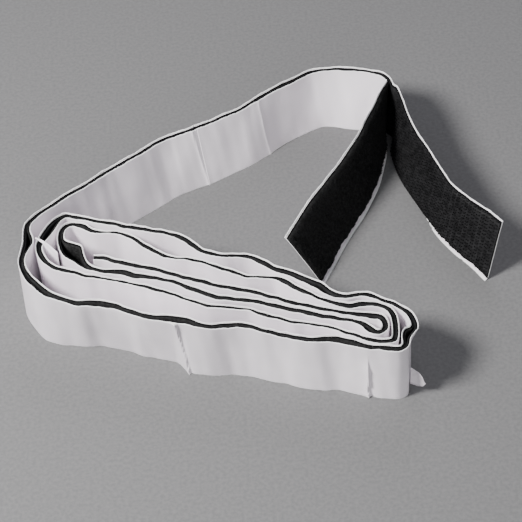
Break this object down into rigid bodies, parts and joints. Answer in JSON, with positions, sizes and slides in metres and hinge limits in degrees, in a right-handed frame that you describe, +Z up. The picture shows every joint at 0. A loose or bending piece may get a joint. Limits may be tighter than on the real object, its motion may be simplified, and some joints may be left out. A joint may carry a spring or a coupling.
{
  "type": "hook-and-loop strap",
  "caption": "Length of self-adhesive hook-and-loop strap standing on edge in a flat hank, its hook and loop tapes peeled into two free tails.",
  "frame": {"origin": "on the table, under the middle of the whole strap's bounding box", "axes": "+Z up from the edge the strap stands on; +X along the hank's long side, towards the tails' side; +Y from the hank towards the lead"},
  "size_m": [0.1481, 0.1329, 0.021],
  "materials": {
    "woven_tape": "matt woven nylon",
    "hook_pile": "stiff nylon hooks",
    "loop_pile": "soft napped loops",
    "adhesive_film": "clear tacky film",
    "release_liner": "satin silicone-coated paper"
  },
  "bodies": {
    "bundle": {"hook_tape_bundle": "woven_tape", "hook_pile_bundle": "hook_pile", "hook_adhesive_bundle": "adhesive_film", "hook_liner_bundle": "release_liner", "loop_tape_bundle": "woven_tape", "loop_pile_bundle": "loop_pile", "loop_adhesive_bundle": "adhesive_film", "loop_liner_bundle": "release_liner"},
    "lead": {"hook_tape_lead": "woven_tape", "hook_pile_lead": "hook_pile", "hook_adhesive_lead": "adhesive_film", "hook_liner_lead": "release_liner", "loop_tape_lead": "woven_tape", "loop_pile_lead": "loop_pile", "loop_adhesive_lead": "adhesive_film", "loop_liner_lead": "release_liner"},
    "hook_tail": {"hook_tape_tail": "woven_tape", "hook_pile_tail": "hook_pile", "hook_adhesive_tail": "adhesive_film", "hook_liner_tail": "release_liner"},
    "loop_tail": {"loop_tape_tail": "woven_tape", "loop_pile_tail": "loop_pile", "loop_adhesive_tail": "adhesive_film", "loop_liner_tail": "release_liner"},
    "right_tongue": {"liner_tongue_right": "release_liner"},
    "left_tongue": {"liner_tongue_left": "release_liner"}
  },
  "joints": [
    {"name": "lead_swing", "type": "hinge", "parent": "bundle", "child": "lead", "pos_m": [-0.072, -0.00444, 0], "axis": [0, 0, 1], "range_deg": [-7, 60]},
    {"name": "hook_tail_peel", "type": "hinge", "parent": "lead", "child": "hook_tail", "pos_m": [0.0459, 0.05026, 0], "axis": [0, 0, 1], "range_deg": [-4, 40]},
    {"name": "loop_tail_peel", "type": "hinge", "parent": "lead", "child": "loop_tail", "pos_m": [0.0438, 0.04936, 0], "axis": [0, 0, 1], "range_deg": [-40, 4]},
    {"name": "right_tongue_flex", "type": "hinge", "parent": "bundle", "child": "right_tongue", "pos_m": [0.0414, -0.06284, 0], "axis": [0, 0, 1], "range_deg": [-40, 40]},
    {"name": "left_tongue_flex", "type": "hinge", "parent": "bundle", "child": "left_tongue", "pos_m": [-0.0617, -0.01594, 0], "axis": [0, 0, 1], "range_deg": [-28, 2]}
  ]
}
